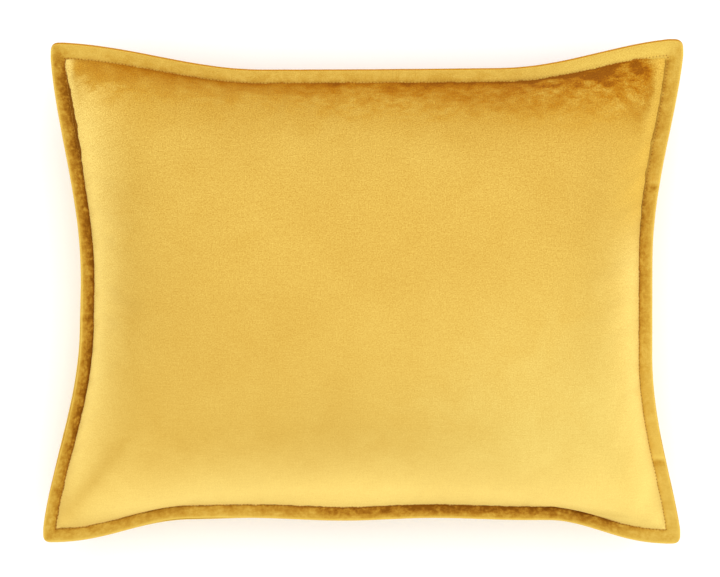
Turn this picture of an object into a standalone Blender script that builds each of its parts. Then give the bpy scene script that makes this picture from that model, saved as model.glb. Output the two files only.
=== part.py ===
"""Flanged velvet throw pillow: a 16 x 20 inch zipped cover with a stuffed insert, lying on its back.

Metres. +X runs along the long sides, +Y away from the zipped side, +Z out of the front face.
The origin is on the floor under the middle of the pillow.

Every skin is laid over one grid of (u, v). Both run from -1 to 1 between opposite seams, and on the
cover they go on across the flange, to 2 at its rim.
"""
import math

import bpy
from mathutils import Vector

MM = 0.001

# The outline of the cover's seam, where the flange begins
SEAM_HALF_X = 0.2360  # half the length between the seam's corners
SEAM_HALF_Y = 0.1835
SHORT_SIDE_SAG = 0.0250  # how far the middle of a short side is pulled in by the filling
LONG_SIDE_SAG = 0.0195
SHORT_SIDE_REACH = 0.155  # from its corner, the length over which a side curves in
PLAIN_SIDE_REACH = 0.150
ZIPPED_SIDE_REACH = 0.124
FLANGE = 0.0105  # its width as seen from the front
CORNER_SHARE = 0.8  # how much of the flange's width its rounded corner keeps

# Heights above the floor
SEAM_Z = 0.068  # middle of the flange
FRONT_RISE = 0.0825  # from the flange to the inside of the front panel's crown
FRONT_FULLNESS = 0.6  # a lower power makes a squarer crown
BACK_FULLNESS = 0.8
BACK_SETTLING = 1.2  # over 1, the back is pressed flat against the floor in its middle

# Cloth and thread
VELVET = 0.0012
TICKING = 0.0006
LABEL = 0.0003
FLANGE_GAP = 0.0010  # between the two layers of the flange
THREAD = 0.0002  # radius
CLEAR = 0.0003

# The insert, smaller than the cover so that it stays clear of the zipper
INSERT_IN_X = 0.006  # its seam lies this far inside the cover's
INSERT_IN_TOP = 0.006
INSERT_IN_ZIPPED = 0.020
INSERT_LOWER = 0.0025  # its crown lies this far under the cover's
FILL_IN = 0.004
CLOSING_HALF = 0.048  # half the length that is sewn up after stuffing

# Grid lines, given as distances from the seam
X_STEPS = (0, 0.004, 0.0105, 0.022, 0.042, 0.066, 0.092, 0.140, 0.188, SEAM_HALF_X)
Y_STEPS = (0, 0.004, 0.0175, 0.0285, 0.047, 0.073, 0.108, 0.146, SEAM_HALF_Y)

# The zipper runs along -Y in a narrow shelf of the back panel, just inside the seam
SHELF_WIDTH = 0.0156
SHELF_END = 0.0254  # where the back panel is at its full depth again
SHELF_SLOPE = 0.12
SHELF_HALF = 0.144
SHELF_FADE = 0.170
ZIP_SEAM_Y = LONG_SIDE_SAG - SEAM_HALF_Y
ZIP_Y = ZIP_SEAM_Y + 0.0050  # middle of the chain
SLOT_HALF_X = 0.127
SLOT_HALF_Y = 0.0041
CHAIN_HALF = 0.1205
STOP_LENGTH = 0.0025
TRAVEL_HALF = 0.114  # the slider's middle stops here at both ends
TAPE_HALF_LENGTH = 0.130
TAPE_THICKNESS = 0.0004
TAPE_WIDTH = 0.0080
TAPE_SPLIT = 0.0010  # from the chain's middle to each tape's edge
COIL_IN = 0.0007  # from the chain's middle to the near side of a coil
COIL_OUT = 0.0027
COIL_TOP = -0.0005  # below the middle of the flange
COIL_BOTTOM = -0.0023
SLIDER_HALF_LENGTH = 0.0045
HINGE_DROP = 0.0045  # the pull's axis, below the middle of the flange


def clear_scene():
    for old in list(bpy.data.objects):
        bpy.data.objects.remove(old)


def material(name, colour, roughness, metallic=0.0):
    made = bpy.data.materials.new(name)
    made.use_nodes = True
    shader = made.node_tree.nodes["Principled BSDF"]
    shader.inputs["Base Color"].default_value = (*colour, 1.0)
    shader.inputs["Roughness"].default_value = roughness
    shader.inputs["Metallic"].default_value = metallic
    return made


def add_object(name, points, faces, finish, origin=(0, 0, 0)):
    """A named object from points in world space, with its own origin."""
    centre = Vector(origin)
    mesh = bpy.data.meshes.new(name)
    mesh.from_pydata([Vector(p) - centre for p in points], [], faces)
    mesh.validate()
    mesh.materials.append(finish)
    made = bpy.data.objects.new(name, mesh)
    made.location = centre
    bpy.context.collection.objects.link(made)
    return made


# Skins over the grid


def clamp(value, low=-1.0, high=1.0):
    return max(low, min(high, value))


def levels(steps, half, with_flange):
    """Grid positions from one seam to the other, and out to the rim where there is a flange."""
    outer = [1 - step / half for step in steps]
    line = [-t for t in outer] + outer[-2::-1]
    return [-2.0, *line, 2.0] if with_flange else line


def pull_in(distance, reach):
    """Share of a side's sag at a distance from its corner."""
    return 0.5 - 0.5 * math.cos(math.pi * min(1.0, distance / reach))


class Body:
    """The size of one stuffed body: the cover, the insert or the filling."""

    def __init__(self, in_x=0.0, in_top=0.0, in_zipped=0.0, lower=0.0, gap=0.0):
        self.half_x = SEAM_HALF_X - in_x
        self.half_y = SEAM_HALF_Y - (in_top + in_zipped) / 2
        self.shift_y = (in_zipped - in_top) / 2
        self.rise = FRONT_RISE - lower
        self.drop = SEAM_Z - VELVET - lower
        self.gap = gap

    def plan(self, u, v):
        """Where a grid point lies, seen from the front."""
        su = clamp(u)
        sv = clamp(v)
        long_reach = ZIPPED_SIDE_REACH if v < 0 else PLAIN_SIDE_REACH
        in_x = SHORT_SIDE_SAG * pull_in(self.half_y * (1 - abs(sv)), SHORT_SIDE_REACH)
        in_y = LONG_SIDE_SAG * pull_in(self.half_x * (1 - abs(su)), long_reach)
        share = CORNER_SHARE if abs(u) > 1 and abs(v) > 1 else 1.0
        x = su * (self.half_x - in_x) + (u - su) * FLANGE * share
        y = sv * (self.half_y - in_y) + (v - sv) * FLANGE * share
        return x, y + self.shift_y

    def front(self, u, v):
        x, y = self.plan(u, v)
        rise = (self.rise - self.gap / 2) * crown(u, v) ** FRONT_FULLNESS
        return Vector((x, y, SEAM_Z + self.gap / 2 + rise))

    def back(self, u, v):
        x, y = self.plan(u, v)
        settled = min(1.0, BACK_SETTLING * crown(u, v) ** BACK_FULLNESS)
        drop = (self.drop - self.gap / 2) * settled * (2 - settled)
        return Vector((x, y, SEAM_Z - self.gap / 2 - drop))

    def zipped_back(self, u, v):
        """The back with the shelf that holds the zipper, just inside the seam at -Y."""
        point = self.back(u, v)
        inside = point.y - self.plan(u, -1)[1]
        if v > 0 or inside < 0:
            return point
        along = clamp((SHELF_FADE - abs(point.x)) / (SHELF_FADE - SHELF_HALF), 0, 1)
        across = clamp((SHELF_END - inside) / (SHELF_END - SHELF_WIDTH), 0, 1)
        shelf_z = SEAM_Z - self.gap / 2 - SHELF_SLOPE * inside
        point.z += (shelf_z - point.z) * along * across
        return point


def crown(u, v):
    """Fullness over the grid: 0 along the seam and 1 in the middle."""
    return (1 - clamp(u) ** 2) * (1 - clamp(v) ** 2)


def grid(surface, us, vs):
    return [[surface(u, v) for v in vs] for u in us]


def offset(points, distance):
    """The same grid moved along its own normal, which points to +Z on a flat grid."""
    last_i = len(points) - 1
    last_j = len(points[0]) - 1
    moved = []
    for i in range(last_i + 1):
        row = []
        for j in range(last_j + 1):
            along_u = points[min(i + 1, last_i)][j] - points[max(i - 1, 0)][j]
            along_v = points[i][min(j + 1, last_j)] - points[i][max(j - 1, 0)]
            row.append(points[i][j] + along_u.cross(along_v).normalized() * distance)
        moved.append(row)
    return moved


def edge_ring(columns, rows, skip=0):
    """Grid indices once round the edge, counter-clockwise, skip lines in from it."""
    low_i, high_i = skip, columns - 1 - skip
    low_j, high_j = skip, rows - 1 - skip
    ring = [(i, low_j) for i in range(low_i, high_i)]
    ring += [(high_i, j) for j in range(low_j, high_j)]
    ring += [(i, high_j) for i in range(high_i, low_i, -1)]
    ring += [(low_i, j) for j in range(high_j, low_j, -1)]
    return ring


def solid_between(name, upper, lower, finish):
    """A closed body between two grids of points, the upper one towards +Z."""
    columns = len(upper)
    rows = len(upper[0])
    points = [p for layer in (upper, lower) for column in layer for p in column]
    under = columns * rows
    faces = []
    for i in range(columns - 1):
        for j in range(rows - 1):
            a = i * rows + j
            b = a + rows
            faces.append((a, b, b + 1, a + 1))
            faces.append((under + a, under + a + 1, under + b + 1, under + b))
    ring = [i * rows + j for i, j in edge_ring(columns, rows)]
    for here, after in zip(ring, ring[1:] + ring[:1]):
        faces.append((here, under + here, under + after, after))
    made = add_object(name, points, faces, finish)
    made.data.shade_smooth()
    made.data.set_sharp_from_angle(angle=math.radians(50))
    return made


def thread_run(name, points, finish, closed):
    """A square thread along the points, closed into a ring or capped at both ends."""
    count = len(points)
    verts = []
    for k, point in enumerate(points):
        before = points[k - 1] if closed or k else point
        after = points[(k + 1) % count] if closed or k < count - 1 else point
        along = (after - before).normalized()
        side = along.cross(Vector((0, 0, 1))).normalized()
        up = side.cross(along)
        for way in (side, up, -side, -up):
            verts.append(point + way * THREAD)
    faces = []
    for k in range(count if closed else count - 1):
        a = 4 * k
        b = 4 * ((k + 1) % count)
        for c in range(4):
            d = (c + 1) % 4
            faces.append((a + c, b + c, b + d, a + d))
    if not closed:
        end = 4 * (count - 1)
        faces.append((0, 1, 2, 3))
        faces.append((end + 3, end + 2, end + 1, end))
    return add_object(name, verts, faces, finish)


def prism(name, outline, faces, low, high, place, finish, origin=(0, 0, 0)):
    """A flat pattern of faces, given counter-clockwise, made solid between two depths."""
    points = [place(a, b, low) for a, b in outline] + [place(a, b, high) for a, b in outline]
    count = len(outline)
    solid = [tuple(reversed(face)) for face in faces]
    solid += [tuple(k + count for k in face) for face in faces]
    edges = {(face[k - 1], face[k]) for face in faces for k in range(len(face))}
    for a, b in sorted(edges):
        if (b, a) not in edges:
            solid.append((a, b, b + count, a + count))
    return add_object(name, points, solid, finish, origin)


def along_x(y, z, x):
    """Place for a prism whose pattern stands across the zipper and whose depth runs along it."""
    return Vector((x, ZIP_Y + y, SEAM_Z + z))


def combine(body, tool, operation):
    """A Boolean on a body. The tool stays in the scene as a hidden guide."""
    tool.hide_render = True
    tool.display_type = "WIRE"
    cut = body.modifiers.new(tool.name, "BOOLEAN")
    cut.operation = operation
    cut.solver = "EXACT"
    cut.object = tool


# The cover


def build_cover(velvet, thread):
    cover = Body(gap=FLANGE_GAP)
    us = levels(X_STEPS, SEAM_HALF_X, True)
    vs = levels(Y_STEPS, SEAM_HALF_Y, True)
    front = grid(cover.front, us, vs)
    back = grid(cover.zipped_back, us, vs)
    solid_between("front_panel", offset(front, VELVET), front, velvet)
    panel = solid_between("back_panel", back, offset(back, -VELVET), velvet)
    cut_zipper_slot(panel, velvet)

    seam = edge_ring(len(us), len(vs), skip=1)
    stand_off = VELVET + CLEAR + 2 * THREAD
    needle = offset(front, stand_off)
    bobbin = offset(back, -stand_off)
    thread_run("topstitch_needle_thread", [needle[i][j] for i, j in seam], thread, True)
    thread_run("topstitch_bobbin_thread", [bobbin[i][j] for i, j in seam], thread, True)
    build_rim_seam(cover, us, vs, thread)
    return back


def cut_zipper_slot(panel, velvet):
    opening = [
        (-SLOT_HALF_Y, COIL_BOTTOM * 2.5),
        (SLOT_HALF_Y, COIL_BOTTOM * 2.5),
        (SLOT_HALF_Y, -CLEAR / 2),
        (-SLOT_HALF_Y, -CLEAR / 2),
    ]
    ends = (-SLOT_HALF_X, SLOT_HALF_X)
    tool = prism("slot_cutter", opening, [(0, 1, 2, 3)], *ends, along_x, velvet)
    combine(panel, tool, "DIFFERENCE")


def build_rim_seam(cover, us, vs, thread):
    """The seam that joins the two panels, between the layers of the flange near its rim."""
    reach = 2 - 0.002 / FLANGE
    path = []
    for i, j in edge_ring(len(us), len(vs)):
        x, y = cover.plan(clamp(us[i], -reach, reach), clamp(vs[j], -reach, reach))
        path.append(Vector((x, y, SEAM_Z)))
    thread_run("rim_seam_thread", path, thread, True)


def build_care_label(back, satin):
    """A blank label inside the cover, in the seam beside the zipper."""
    columns = range(6, 8)
    rows = range(2, 6)
    near = offset(back, 3 * CLEAR)
    far = offset(back, 3 * CLEAR + LABEL)
    upper = [[far[i][j] for j in rows] for i in columns]
    lower = [[near[i][j] for j in rows] for i in columns]
    solid_between("care_label", upper, lower, satin)


# The insert


def build_insert(cotton, thread, fibre, satin):
    insets = (INSERT_IN_X, INSERT_IN_TOP, INSERT_IN_ZIPPED)
    insert = Body(*insets, lower=INSERT_LOWER, gap=CLEAR)
    us = levels(X_STEPS, SEAM_HALF_X, False)
    vs = levels(Y_STEPS, SEAM_HALF_Y, False)
    front = grid(insert.front, us, vs)
    back = grid(insert.back, us, vs)
    solid_between("insert_front", offset(front, TICKING), front, cotton)
    solid_between("insert_back", back, offset(back, -TICKING), cotton)

    fill = Body(*(inset + FILL_IN for inset in insets), lower=INSERT_LOWER + 2 * CLEAR)
    fill.gap = 4 * CLEAR
    solid_between("fibre_fill", grid(fill.front, us, vs), grid(fill.back, us, vs), fibre)

    seam = [insert_seam_point(insert, us[i], vs[j]) for i, j in edge_ring(len(us), len(vs))]
    middle = len(us) // 2
    open_run = seam[middle + 1 :] + seam[:middle]
    thread_run("insert_seam_thread", open_run, thread, False)
    build_closing_thread(seam[middle], thread)
    build_insert_label(offset(front, TICKING + 2 * CLEAR), satin)


def insert_seam_point(insert, u, v):
    """A point on the insert's overlocked edge, just outside its two panels."""
    outside = 1 + (CLEAR + 2 * THREAD) / FLANGE
    x, y = insert.plan(u * outside if abs(u) == 1 else u, v * outside if abs(v) == 1 else v)
    return Vector((x, y, SEAM_Z))


def build_closing_thread(edge, thread):
    """The zigzag that closes the insert after stuffing."""
    turns = 24
    path = []
    for k in range(turns + 1):
        x = CLOSING_HALF * 0.95 * (2 * k / turns - 1)
        height = 1.0 * MM if k % 2 else -1.0 * MM
        path.append(Vector((x, edge.y - 1.0 * MM, SEAM_Z + height)))
    thread_run("insert_closing_thread", path, thread, False)


def build_insert_label(near, satin):
    """A blank label on the insert, sewn in at the side away from the zipper."""
    columns = range(6, 8)
    rows = range(len(near[0]) - 5, len(near[0]) - 1)
    lower = [[near[i][j] for j in rows] for i in columns]
    upper = [[point + Vector((0, 0, LABEL)) for point in column] for column in lower]
    solid_between("insert_label", upper, lower, satin)


# The zipper


def build_tape(name, side, cloth):
    """side is -1 for the tape sewn to the flange and 1 for the one sewn to the back."""
    near = side * TAPE_SPLIT
    far = side * (TAPE_SPLIT + TAPE_WIDTH)
    left, right = sorted((near, far))
    half = TAPE_THICKNESS / 2
    outline = [(left, -half), (right, -half), (right, half), (left, half)]
    ends = (-TAPE_HALF_LENGTH, TAPE_HALF_LENGTH)
    prism(name, outline, [(0, 1, 2, 3)], *ends, along_x, cloth)


def coil_outline(side, grow=0.0):
    """The six-sided section of one coil, or of a stop clamped round it."""
    left, right = sorted((side * (COIL_IN - grow), side * (COIL_OUT + grow)))
    bottom = COIL_BOTTOM - grow
    shoulder = (COIL_TOP - bottom) / 3
    return [
        (left, bottom + shoulder),
        (left + shoulder, bottom),
        (right - shoulder, bottom),
        (right, bottom + shoulder),
        (right, COIL_TOP),
        (left, COIL_TOP),
    ]


def build_coil(name, side, nylon):
    outline = coil_outline(side)
    prism(name, outline, [tuple(range(6))], -CHAIN_HALF, CHAIN_HALF, along_x, nylon)


def build_stops(brass):
    """A small stop on each coil at the closed end, and one across both at the other."""
    start = CHAIN_HALF + CLEAR
    end = start + STOP_LENGTH
    six = [tuple(range(6))]
    for name, side in (("flange_side", -1), ("back_side", 1)):
        outline = coil_outline(side, 0.1 * MM)
        prism(f"zipper_top_stop_{name}", outline, six, start, end, along_x, brass)
    right = coil_outline(1)[2:5]
    left = [(-a, b) for a, b in reversed(right)]
    prism("zipper_bottom_stop", right + left, six, -end, -start, along_x, brass)


def build_zipper_stitching(thread):
    """The rows that hold the tapes, and the bar tacks across the slot's ends."""
    for name, y, z in (("flange_side", -7.5, -2.25), ("back_side", 5.6, -3.8)):
        ends = [along_x(y * MM, z * MM, x) for x in (-TAPE_HALF_LENGTH, TAPE_HALF_LENGTH)]
        thread_run(f"zipper_stitch_row_{name}", ends, thread, False)
    for name, side in (("open_end", -1), ("closed_end", 1)):
        x = side * (SLOT_HALF_X + 2.0 * MM)
        ends = [along_x(-3.6 * MM, -2.8 * MM, x), along_x(3.6 * MM, -3.7 * MM, x)]
        thread_run(f"zipper_bar_tack_{name}", ends, thread, False)


def build_slider(brass):
    """The slider: a plate on each side of the chain, a post between the coils and side lips."""
    centre = Vector((TRAVEL_HALF, ZIP_Y, SEAM_Z))
    half = [
        (0.4, -2.6),
        (3.0, -2.6),
        (3.0, -0.5),
        (3.6, -0.5),
        (3.6, -3.6),
    ]
    top = [(3.2, 1.3), (3.2, 0.5), (0.4, 0.5)]
    right = [(a * MM, b * MM) for a, b in top + half]
    left = [(-a, b) for a, b in reversed(right)]
    outline = list(reversed(right + left))
    low = TRAVEL_HALF - SLIDER_HALF_LENGTH
    high = TRAVEL_HALF + SLIDER_HALF_LENGTH
    faces = [tuple(range(len(outline)))]
    slider = prism("zipper_slider", outline, faces, low, high, along_x, brass, centre)
    combine(slider, build_arch(brass), "UNION")
    return slider


def build_arch(brass):
    """The arch on the slider's outer plate, which holds the pull."""
    outside = [(3.6, -3.4), (3.6, -5.2), (2.6, -6.2)]
    inside = [(2.3, -5.4), (2.8, -4.9), (2.8, -3.4)]
    outline = [(-a * MM, b * MM) for a, b in outside]
    outline += [(a * MM, b * MM) for a, b in reversed(outside)]
    outline += [(a * MM, b * MM) for a, b in reversed(inside)]
    outline += [(-a * MM, b * MM) for a, b in inside]
    half_width = 0.8 * MM

    def place(x, z, y):
        return Vector((TRAVEL_HALF + x, ZIP_Y - y, SEAM_Z + z))

    faces = [tuple(range(len(outline)))]
    return prism("arch_guide", outline, faces, -half_width, half_width, place, brass)


def build_pull(brass, slider):
    """The pull: a bar through the arch, two arms and a tab that hangs straight down."""
    centre = Vector((TRAVEL_HALF, ZIP_Y, SEAM_Z - HINGE_DROP))
    window = [(-1.2, -0.4), (1.2, -0.4), (1.2, -4.1), (-1.2, -4.1)]
    head = [(-2.0, 0.4), (2.0, 0.4), (2.0, -4.6), (-2.0, -4.6)]
    tab = [(-3.0, -5.8), (-3.0, -21.0), (-2.0, -22.0), (2.0, -22.0), (3.0, -21.0), (3.0, -5.8)]
    outline = [(a * MM, b * MM) for a, b in window + head + tab]
    faces = [(4, 0, 1, 5), (5, 1, 2, 6), (6, 2, 3, 7), (7, 3, 0, 4), (7, *range(8, 14), 6)]
    half_thickness = 0.4 * MM

    def place(y, z, x):
        return centre + Vector((x, y, z))

    ends = (-half_thickness, half_thickness)
    pull = prism("zipper_pull", outline, faces, *ends, place, brass, centre)
    pull.parent = slider
    pull.location = centre - slider.location
    return pull


def build_zipper(cloth, nylon, brass, thread):
    build_tape("zipper_tape_flange_side", -1, cloth)
    build_tape("zipper_tape_back_side", 1, cloth)
    build_coil("zipper_coil_flange_side", -1, nylon)
    build_coil("zipper_coil_back_side", 1, nylon)
    build_stops(brass)
    build_zipper_stitching(thread)
    build_pull(brass, build_slider(brass))


def build_pillow():
    clear_scene()
    velvet = material("golden_velvet", (0.78, 0.47, 0.08), 0.75)
    gold_thread = material("golden_thread", (0.62, 0.34, 0.05), 0.6)
    white_thread = material("white_thread", (0.82, 0.81, 0.77), 0.7)
    cotton = material("white_ticking", (0.85, 0.84, 0.80), 0.9)
    fibre = material("polyester_fibre", (0.92, 0.92, 0.91), 1.0)
    satin = material("label_satin", (0.88, 0.87, 0.84), 0.4)
    tape = material("zipper_tape", (0.66, 0.38, 0.07), 0.8)
    nylon = material("zipper_nylon", (0.70, 0.42, 0.09), 0.45)
    brass = material("zipper_brass", (0.78, 0.57, 0.27), 0.3, 1.0)
    back = build_cover(velvet, gold_thread)
    build_care_label(back, satin)
    build_insert(cotton, white_thread, fibre, satin)
    build_zipper(tape, nylon, brass, gold_thread)


build_pillow()
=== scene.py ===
"""Flanged velvet throw pillow: the finished surfaces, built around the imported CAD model.

The pillow lies on its back on the floor. +X is the camera's right, +Y its up, and +Z comes out of the
front face. The cover's two panels are sewn flat sheets, drawn in to the stuffed outline and blown up by
cloth simulation; the insert, its filling and the zipper are built inside them.
"""
import math

import bpy
import numpy as np
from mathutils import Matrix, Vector


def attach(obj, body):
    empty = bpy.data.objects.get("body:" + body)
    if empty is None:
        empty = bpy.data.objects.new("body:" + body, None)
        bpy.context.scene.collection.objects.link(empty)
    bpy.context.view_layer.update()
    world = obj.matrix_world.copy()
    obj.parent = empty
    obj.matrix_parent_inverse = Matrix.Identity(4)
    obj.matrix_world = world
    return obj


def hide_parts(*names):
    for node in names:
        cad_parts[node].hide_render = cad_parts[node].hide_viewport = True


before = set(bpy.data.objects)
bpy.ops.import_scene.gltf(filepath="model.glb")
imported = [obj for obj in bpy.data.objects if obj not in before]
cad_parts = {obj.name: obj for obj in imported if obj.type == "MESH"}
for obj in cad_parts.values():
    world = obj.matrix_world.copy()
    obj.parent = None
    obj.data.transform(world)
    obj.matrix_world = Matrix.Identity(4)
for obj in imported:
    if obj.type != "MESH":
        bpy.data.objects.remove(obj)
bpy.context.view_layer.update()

MM = 0.001

# The cover as it was cut: 20 x 16 in with its flange, 0.5 in wide all round
FLAT_X = 0.2413  # half the distance between opposite seams, as cut
FLAT_Y = 0.1905
SEAM_Z = 0.068  # middle of the flange
STITCH_PITCH = 2.63 * MM
VELVET = 0.8 * MM
SEAM_HALF = 0.85 * MM  # half the flange's thickness under the stitches
FLANGE_HALF = 1.75 * MM  # and where it is thickest
FLANGE = 10.5 * MM  # its usual width, drawn in from 12.7 mm of flat cloth
FLAT_FLANGE = 12.7 * MM
ROLL = 1.5 * MM  # radius of the flange's turned rim
CORNER_ROUND = 0.52  # share of the flange's width that its corner's rounding takes
BACK_DEPTH = 0.068  # from the flange down to the floor

# The seam's corners as stuffed, from the pillow's middle
TOP_LEFT = (-0.2311, 0.1797)
TOP_RIGHT = (0.2362, 0.1824)
BOTTOM_LEFT = (-0.2381, -0.1840)
BOTTOM_RIGHT = (0.2353, -0.1847)

# Grid lines of a cover panel, as distances in from the seam and out from it
NEAR_SEAM = np.array([0, 0.5, 1.2, 2.2, 3.5, 5.3, 7.6, 10.6, 14.2]) * MM
OUT_TO_RIM = np.array([0.5, 1.1, 1.9, 2.9, 4.4, 6.2, 7.9])
GRID = 4.0 * MM

# How far in from the seams the painted sheen and painted shade bands reach, along the cloth
SIDE_BAND = 0.040
LOW_BAND = 0.050
DARK_BAND = 0.022
MARK_REACH = 0.068
SIM_CELLS = (96, 76)

# How much light falls on the face and on its steep edges, so that colours come out as written
FACE_LIGHT = 1.40
EDGE_LIGHT = 1.16

# The velvet's screen colours: the face by its tone, the painted shade below the top seam by how dark it
# is, and the flange by how much painted shade it takes
FACE_TONES = {0.0: "DBA83D", 0.30: "E7BB53", 0.60: "EDC45C", 1.0: "F7D670"}
SHADOW_TONES = {0.0: "E0B048", 0.20: "DBA63A", 0.42: "D0942A", 0.62: "C78418", 0.82: "BA720E", 1.0: "A25E09"}
FLANGE_TONES = {0.0: "F6D162", 0.17: "E9C056", 0.35: "DAAB41", 0.57: "C5902C", 0.77: "AE751C", 1.0: "90580C"}

# The insert: its seam lies this far inside the cover's, along the cloth
INSERT_IN = {"x": 0.010, "top": 0.010, "zipped": 0.031}
FILL_IN = {"x": 0.017, "top": 0.017, "zipped": 0.038}
TICKING = 0.5 * MM
LABEL = 0.3 * MM
CLOSING_HALF = 0.048

# The zipper, as in the CAD model
ZIP_Y = -0.159
SHELF_HALF = 0.144
SHELF_FADE = 0.170
SLOT_HALF_X = 0.127
SLOT_ROWS = (5.3 * MM, 14.2 * MM)  # the cover's grid lines that become its two edges
SHELF_ROWS = (5.3 * MM, 14.2 * MM, 17.0 * MM, 22.0 * MM, 34.0 * MM)  # along the cloth, from the seam
SHELF_PLACES = (-0.1631, -0.1549, -0.1515, -0.1475, -0.1400)  # where those lie
CHAIN_HALF = 0.1205
TAPE_HALF = 0.130

# Soft creases of the front, seen from above: start, end, half width, height and the tone they paint, painted
# shade when below 0 and painted highlight when above 0
CREASES = (
    ((-0.237, -0.184), (-0.190, -0.122), 8.0 * MM, -0.7 * MM, -0.22),
    ((0.208, -0.176), (0.224, -0.138), 6.0 * MM, 0.6 * MM, 0.25),
    ((0.190, -0.150), (0.212, -0.105), 8.0 * MM, -0.4 * MM, -0.10),
    ((0.150, -0.1655), (0.205, -0.1745), 2.2 * MM, -0.4 * MM, -0.30),
    ((0.212, 0.147), (0.203, 0.131), 5.0 * MM, -0.3 * MM, -0.20),
    ((0.176, 0.150), (0.168, 0.128), 5.0 * MM, -0.2 * MM, -0.15),
)
# Kinks across the flange: which side, where along it and how far it is pushed up, which also sets its
# painted highlight and painted shade
KINKS = (("right", 0.083, 0.9 * MM), ("right", -0.130, 0.6 * MM), ("left", -0.019, 0.6 * MM))


# Shapes


class Side:
    """One side of the seam from corner to corner, drawn inwards between them by the filling."""

    def __init__(self, start, end, inward, sag, reaches, powers, widths, wave=0.0):
        self.start = np.array(start)
        self.end = np.array(end)
        self.inward = np.array(inward)
        self.sag = sag
        self.reaches = reaches
        self.powers = powers
        self.widths = widths  # of the flange: at the start, in the middle and at the end
        self.wave = wave

    def at(self, t):
        t = np.asarray(t, dtype=float)
        length = np.linalg.norm(self.end - self.start)
        drawn = np.ones_like(t)
        for distance, reach, power in zip((t, 1 - t), self.reaches, self.powers):
            share = np.clip((distance * length + 0.010) / reach, 0, 1)
            drawn = drawn * (0.5 - 0.5 * np.cos(math.pi * share)) ** (power / 2)
        ripple = self.wave * np.sin(math.tau * (t * length - 0.105) / 0.155) * np.sin(math.pi * t) ** 2
        line = self.start + (self.end - self.start) * t[..., None]
        return line + self.inward * (drawn * self.sag + ripple)[..., None]

    def width(self, t):
        first, middle, last = self.widths
        ends = first + (last - first) * t
        return ends + (middle - ends) * np.sin(math.pi * np.clip(t, 0, 1)) ** 0.7


BOTTOM = Side(
    BOTTOM_LEFT, BOTTOM_RIGHT, (0, 1), 0.0184, (0.113, 0.103), (2.6, 2.8), (10.4, 10.5, 10.8), 0.0012
)
TOP = Side(TOP_LEFT, TOP_RIGHT, (0, -1), 0.0201, (0.165, 0.140), (2.0, 1.8), (12.6, 10.5, 12.8))
LEFT = Side(BOTTOM_LEFT, TOP_LEFT, (1, 0), 0.0270, (0.165, 0.190), (1.6, 1.6), (9.8, 10.5, 10.9))
RIGHT = Side(BOTTOM_RIGHT, TOP_RIGHT, (-1, 0), 0.0225, (0.145, 0.170), (1.4, 1.6), (11.0, 10.5, 12.0))


def seam_patch(u, v):
    """Points inside the seam: u and v run from 0 to 1 between opposite sides."""
    across = BOTTOM.at(u) * (1 - v)[..., None] + TOP.at(u) * v[..., None]
    along = LEFT.at(v) * (1 - u)[..., None] + RIGHT.at(v) * u[..., None]
    low = np.array(BOTTOM_LEFT) * (1 - u)[..., None] + np.array(BOTTOM_RIGHT) * u[..., None]
    high = np.array(TOP_LEFT) * (1 - u)[..., None] + np.array(TOP_RIGHT) * u[..., None]
    return across + along - (low * (1 - v)[..., None] + high * v[..., None])


def catmull_rom(cells, at):
    """Weights that read an evenly spaced row of cells + 1 values smoothly, at places from 0 to 1."""
    place = np.clip(np.asarray(at) * cells, 0, cells)
    first = np.minimum(place.astype(int), cells - 1)
    t = place - first
    weights = np.zeros((len(place), cells + 3))
    kernel = (
        (-t + 2 * t**2 - t**3) / 2,
        (2 - 5 * t**2 + 3 * t**3) / 2,
        (t + 4 * t**2 - 3 * t**3) / 2,
        (-(t**2) + t**3) / 2,
    )
    rows = np.arange(len(place))
    for shift, share in enumerate(kernel):
        weights[rows, first + shift] += share
    inner = weights[:, 1:-1].copy()
    inner[:, 0] += 2 * weights[:, 0]
    inner[:, 1] -= weights[:, 0]
    inner[:, -1] += 2 * weights[:, -1]
    inner[:, -2] -= weights[:, -1]
    return inner


def resample(points, us, vs):
    """A smooth reading of an even grid of points, at any places from 0 to 1."""
    along = catmull_rom(points.shape[0] - 1, us)
    across = catmull_rom(points.shape[1] - 1, vs)
    return np.einsum("ia,abk,jb->ijk", along, points, across)


def quads(columns, rows, flip=False):
    index = np.arange(columns * rows).reshape(columns, rows)
    corners = [index[:-1, :-1], index[1:, :-1], index[1:, 1:], index[:-1, 1:]]
    if flip:
        corners.reverse()
    return np.stack(corners, -1).reshape(-1, 4)


def xyz(x, y, z=0.0):
    """Points from their coordinates, each a number or an array."""
    return np.stack(np.broadcast_arrays(x, y, z), -1)


def unit(vectors):
    return vectors / np.linalg.norm(vectors, axis=-1, keepdims=True)


def on_cloth(u, v):
    """Where places from 0 to 1 between the seams lie on the cut cloth."""
    return (2 * u - 1) * FLAT_X, (2 * v - 1) * FLAT_Y


def ease(value, low, high):
    """0 at low, 1 at high and smooth between them; low may be the larger."""
    t = np.clip((value - low) / (high - low), 0, 1)
    return t * t * (3 - 2 * t)


def inward(loop):
    """Level unit vectors to the left of a closed loop's run: to its inside, if it runs counter-clockwise."""
    along = unit(np.roll(loop, -1, 0)[:, :2] - np.roll(loop, 1, 0)[:, :2])
    return np.stack([-along[:, 1], along[:, 0]], -1)


def distances_round(loop):
    """Metres along a closed loop to each of its points, and last the whole way round."""
    steps = np.linalg.norm(np.roll(loop, -1, 0) - loop, axis=1)
    return np.concatenate([[0], np.cumsum(steps)])


def new_mesh(name, points, faces, smooth=True):
    mesh = bpy.data.meshes.new(name)
    faces = faces if isinstance(faces, list) else faces.tolist()
    mesh.from_pydata(np.asarray(points).reshape(-1, 3).tolist(), [], faces)
    if smooth:
        mesh.shade_smooth()
    made = bpy.data.objects.new(name, mesh)
    bpy.context.collection.objects.link(made)
    return made


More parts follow.
